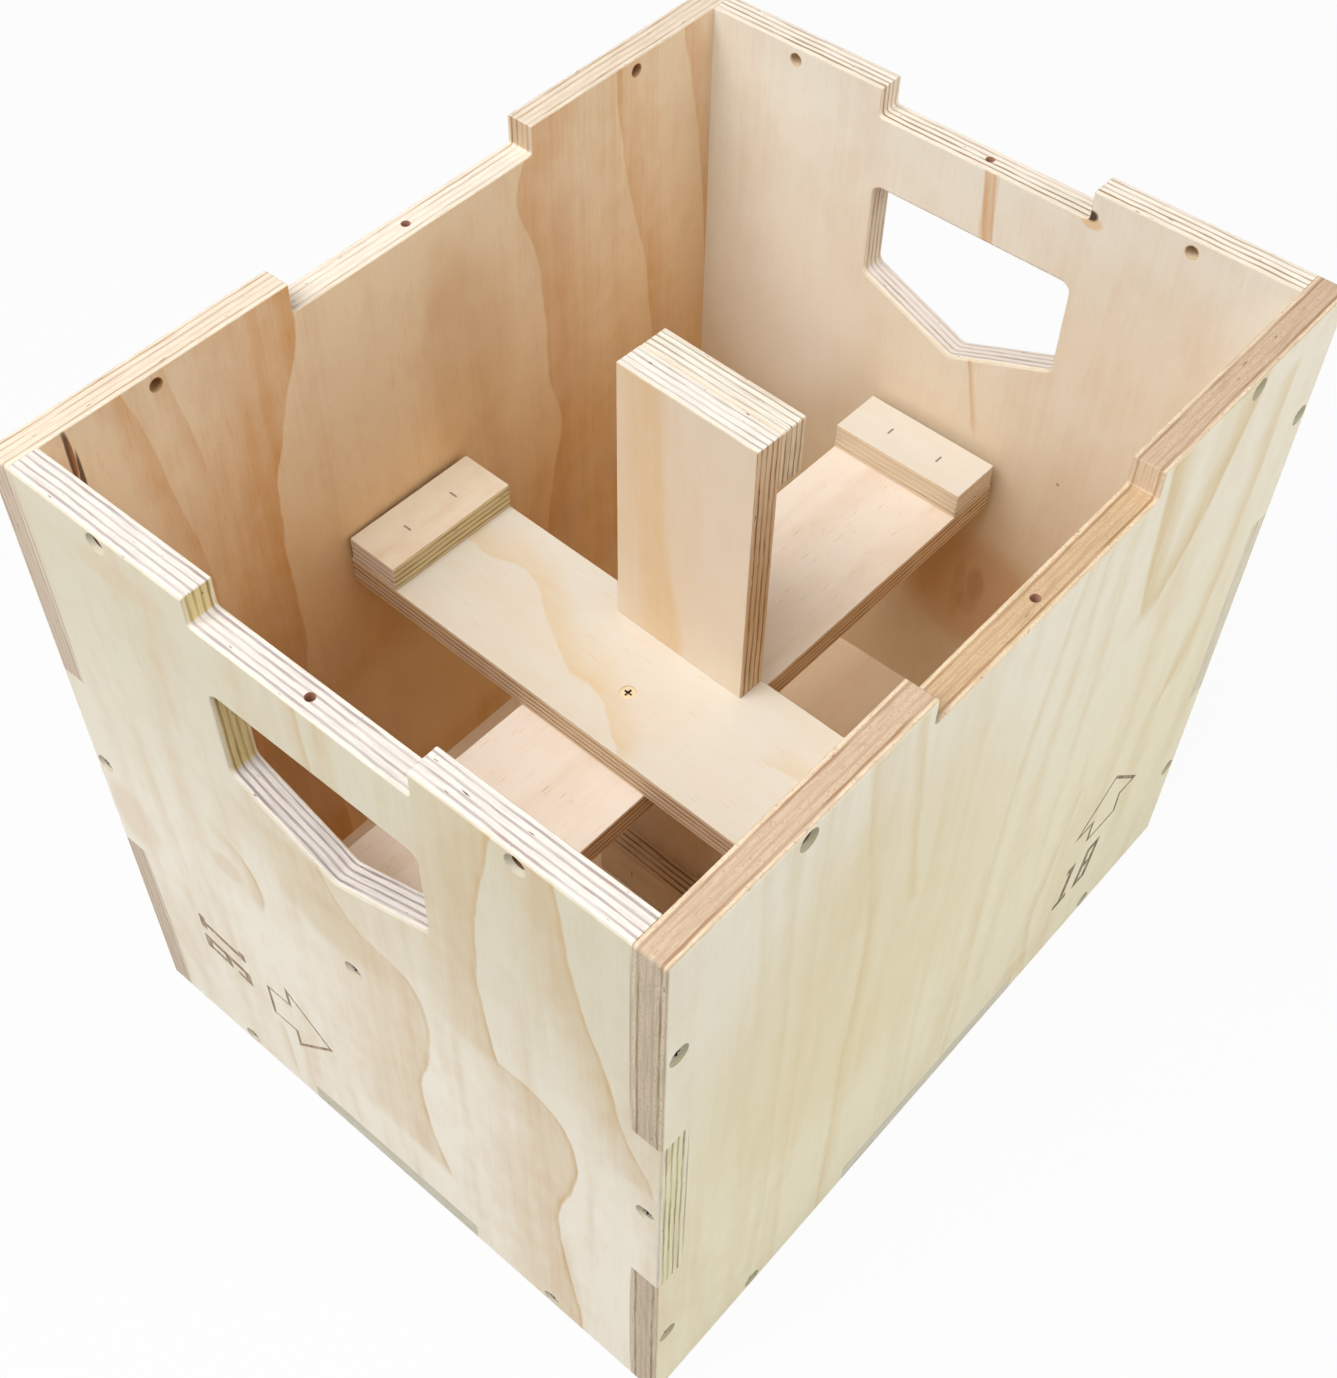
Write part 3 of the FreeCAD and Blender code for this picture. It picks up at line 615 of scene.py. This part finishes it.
def dress_strips():
    strip_top = veneer("DFD9CC", "DABF90", 7.0, flames=FLAMES_CROSS_TOP, ring=0.1, cloud=0.15, wander=20.0,
                       fleck=0.6, soft=1.2)
    strip_plain = veneer("F0E4D6", "D2AE82", 8.0, ring=0.3, cloud=0.25, wander=5.0, fleck=0.65, blush=0.12)
    post_front = veneer("EADECB", "E2BD80", 9.0, flames=FLAMES_POST, ring=0.0, cloud=0.15, wander=8.0,
                        soft=6.0)
    cleat_face = veneer("E9DCC6", "CFA876", 10.0, ring=0.3, cloud=0.3, wander=4.0, mottle=0.12, fleck=0.4)
    pale_cleat = veneer("E4DED2", "D8BE9C", 12.0, ring=0.3, cloud=0.2, wander=4.0)
    crossing = -X * CROSS_OFFSET
    cross_right, cross_ahead = skewed(CROSS_SKEW)
    long_ahead, long_left = skewed(LONG_SKEW)
    post_right, post_ahead = skewed(POST_SKEW)
    post_skin = crossing + post_right * (STRIP / 2 - SHEET)
    post_back = crossing + post_right * (STRIP / 2)
    long_start = Y * LONG_SHIFT + level_of("long_brace")
    cross_start = crossing + level_of("cross_brace")
    strips = {
        "long_brace": ((long_left, -Z, long_ahead, long_start), strip_plain, strip_plain),
        "cross_brace": ((cross_right, -Z, cross_ahead, cross_start), strip_top, strip_plain),
        "upper_post": ((-post_ahead, post_right, Z, post_skin), post_front, strip_plain),
        "lower_post": ((-post_ahead, post_right, Z, post_skin), strip_plain, strip_plain),
        "back_cleat": ((cross_ahead, -Z, cross_right, level_of("back_cleat")), cleat_face, cleat_face),
        "front_cleat": ((cross_ahead, -Z, cross_right, level_of("front_cleat")), cleat_face, cleat_face),
        "right_cleat": ((long_ahead, -Z, long_left, level_of("right_cleat")), pale_cleat, pale_cleat),
        "upper_post_cleat": ((Z, post_right, post_ahead, post_back), cleat_face, cleat_face),
        "lower_post_cleat": ((Z, -post_right, post_ahead, post_skin), cleat_face, cleat_face),
    }
    cleat_edges = {"upper_post_cleat": POST_CLEAT_EDGES, "right_cleat": RIGHT_CLEAT_EDGES,
                   "back_cleat": BACK_CLEAT_EDGES}
    for number, (node, (lay, outer, inner)) in enumerate(strips.items()):
        edges = cleat_edges.get(node, STRIP_EDGES)
        name = "sanded_pine_strip_" + node
        dress(node, plywood(name, lay, outer, inner, edges, STRIP_SEED + number))


# Plated fasteners. Their scratches are drawn coarser than real ones, so that they show

# Grime and painted shade in the cross recess, found by ambient occlusion
RECESS_GRIME_AND_SHADE = "3A2614"
GRIME_AND_SHADE_REACH = 2.0
GRIME_AND_SHADE_LIMITS = (0.45, 0.8)
GRIME_AND_SHADE_RAYS = 8
SCRATCHES_IN_MILLIMETRE = 1.8
SCRATCH_DETAIL = 3.0
WEAR_LIMITS = (0.3, 0.75)
ROUGH_LIMITS = (0.2, 0.8)
ROUGH_RISE = 0.2
SCRATCH_STRENGTH = 0.2
SCRATCH_HEIGHT = 0.1


def plated_metal(name, code, dull, roughness):
    """Plated steel: a dull metal with fine scratches, duller spots, and grime with painted shade in the cross
    recess.
    """
    material = new_material(name)
    tree = material.node_tree
    point = add(tree, "TexCoord", {}, out="Object")
    scratch = add(tree, "TexNoise", {"Vector": point, "Scale": SCRATCHES_IN_MILLIMETRE * METRE,
                                     "Detail": SCRATCH_DETAIL})
    worn = add(tree, "MapRange", {0: scratch, 1: WEAR_LIMITS[0], 2: WEAR_LIMITS[1]}, **SMOOTH)
    colour = add(tree, "Mix", {0: worn, 6: linear(code), 7: linear(dull)}, **COLOUR)
    # Grime and painted shade: the colour darkens where ambient occlusion finds the recess closed in
    open_air = add(tree, "AmbientOcclusion", {"Distance": GRIME_AND_SHADE_REACH / METRE}, out="AO",
                   samples=GRIME_AND_SHADE_RAYS, only_local=True)
    free_of_grime_and_shade = add(tree, "MapRange", {0: open_air, 1: GRIME_AND_SHADE_LIMITS[0], 2: GRIME_AND_SHADE_LIMITS[1]}, **SMOOTH)
    colour = add(tree, "Mix", {0: free_of_grime_and_shade, 6: linear(RECESS_GRIME_AND_SHADE), 7: colour}, **COLOUR)
    rough = add(tree, "MapRange", {0: scratch, 1: ROUGH_LIMITS[0], 2: ROUGH_LIMITS[1], 3: roughness,
                                   4: roughness + ROUGH_RISE})
    bump = add(tree, "Bump", {"Strength": SCRATCH_STRENGTH, "Distance": SCRATCH_HEIGHT / METRE,
                              "Height": scratch})
    shader = add(tree, "BsdfPrincipled", {"Base Color": colour, "Roughness": rough, "Normal": bump,
                                          "Metallic": 1.0})
    add(tree, "OutputMaterial", {"Surface": shader})
    return material


SMOOTH_PLATE = 0.35
DRAWN_WIRE = 0.5


def dress_fasteners():
    zinc = plated_metal("zinc_plated_steel", "C4BFB0", "98927F", SMOOTH_PLATE)
    brass = plated_metal("yellow_passivated_steel", "FAF0D6", "E4CEA0", SMOOTH_PLATE)
    wire = plated_metal("galvanised_wire", "BDB6AA", "968E82", DRAWN_WIRE)
    for node in ("corner_screws", "bottom_panel_screws", "bottom_tab_screws", "brace_end_screw"):
        dress(node, zinc)
    dress("crossing_screw", brass)
    dress("cleat_staples", wire)


# Studio and camera, in metres. A softbox is its place and its power in watts

WHITE = (1.0, 1.0, 1.0, 1.0)
FLOOR_SIZE = 12.0
FLOOR_DROP = 0.0005
FLOOR_GREY = "CDCDCD"
FLOOR_SHOWN = 0.95
WORLD_LEVEL = 0.0
SOFTBOX_AIM = Vector((0, 0, 0.25))
SOFTBOX_SIZE = 1.8
SOFTBOXES = {
    "overhead_softbox": ((0.0, 0.01, 2.6), 16.0),
    "front_softbox": ((0.45, -2.0, 1.05), 29.8),
    "left_softbox": ((-1.4, 0.9, 2.0), 26.0),
    "high_softbox": ((-1.3, 0.1, 2.4), 41.5),
}


def ray_that_shows_white(tree):
    """Whether the backdrop is looked at, straight or in metal, and so shows white."""
    shown = add(tree, "LightPath", {}, out="Is Camera Ray")
    for ray in ("Is Glossy Ray", "Is Transmission Ray"):
        shown = add(tree, "Math", {0: shown, 1: add(tree, "LightPath", {}, out=ray)}, operation="MAXIMUM")
    return shown


def set_stage():
    bpy.ops.object.select_all(action="DESELECT")
    bpy.ops.mesh.primitive_plane_add(size=FLOOR_SIZE, location=(0, 0, -FLOOR_DROP))
    floor = bpy.context.active_object
    floor.name = "studio_floor"
    # Matt paper: an even white to the eye, with no gloss, that takes the box's soft shadow
    paper = new_material("matt_white_paper")
    tree = paper.node_tree
    share = add(tree, "Math", {0: ray_that_shows_white(tree), 1: FLOOR_SHOWN}, operation="MULTIPLY")
    matt = add(tree, "BsdfDiffuse", {"Color": linear(FLOOR_GREY)})
    glow = add(tree, "Emission", {"Color": WHITE, "Strength": 1.0})
    both = add(tree, "MixShader", {0: share, 1: matt, 2: glow})
    add(tree, "OutputMaterial", {"Surface": both})
    floor.data.materials.append(paper)

    world = bpy.data.worlds.new("studio")
    bpy.context.scene.world = world
    world.use_nodes = True
    tree = world.node_tree
    tree.nodes.clear()
    soft = add(tree, "Background", {"Color": WHITE, "Strength": WORLD_LEVEL})
    white = add(tree, "Background", {"Color": WHITE, "Strength": 1.0})
    both = add(tree, "MixShader", {0: ray_that_shows_white(tree), 1: soft, 2: white})
    add(tree, "OutputWorld", {"Surface": both})

    for name, (place, power) in SOFTBOXES.items():
        lamp = bpy.data.lights.new(name, "AREA")
        lamp.shape = "SQUARE"
        lamp.size = SOFTBOX_SIZE
        lamp.energy = power
        softbox = bpy.data.objects.new(name, lamp)
        bpy.context.scene.collection.objects.link(softbox)
        softbox.location = place
        softbox.rotation_euler = (SOFTBOX_AIM - Vector(place)).to_track_quat("-Z", "Y").to_euler()


PHOTO_WIDTH = 1337.0
PHOTO_HEIGHT = 1378.0
FOCAL_PIXELS = 1895.754
AXIS_ACROSS = 633.774
AXIS_DOWN = 722.78
SENSOR = 36.0
CAMERA_PLACE = Vector((-0.524887, -0.424647, 1.054335))
CAMERA_TURNS = (-48.679, 52.166, 0.153)   # degrees of yaw, pitch down and roll


def set_camera():
    lens = bpy.data.cameras.new("camera")
    lens.sensor_fit = "HORIZONTAL"
    lens.sensor_width = SENSOR
    lens.lens = FOCAL_PIXELS * SENSOR / PHOTO_WIDTH
    lens.shift_x = (PHOTO_WIDTH / 2 - AXIS_ACROSS) / PHOTO_WIDTH
    lens.shift_y = (AXIS_DOWN - PHOTO_HEIGHT / 2) / PHOTO_WIDTH
    camera = bpy.data.objects.new("camera", lens)
    bpy.context.scene.collection.objects.link(camera)
    yaw, pitch, roll = (math.radians(turn) for turn in CAMERA_TURNS)
    ahead = Vector((-math.sin(yaw) * math.cos(pitch), math.cos(yaw) * math.cos(pitch), -math.sin(pitch)))
    right = Vector((math.cos(yaw), math.sin(yaw), 0))
    up = right.cross(ahead)
    level_right = right * math.cos(roll) + up * math.sin(roll)
    level_up = up * math.cos(roll) - right * math.sin(roll)
    turn = Matrix((level_right, level_up, -ahead)).transposed().to_4x4()
    camera.matrix_world = Matrix.Translation(CAMERA_PLACE) @ turn
    bpy.context.scene.camera = camera


dress_walls()
dress_strips()
dress_fasteners()
set_stage()
set_camera()
bpy.context.scene.view_settings.view_transform = "Standard"
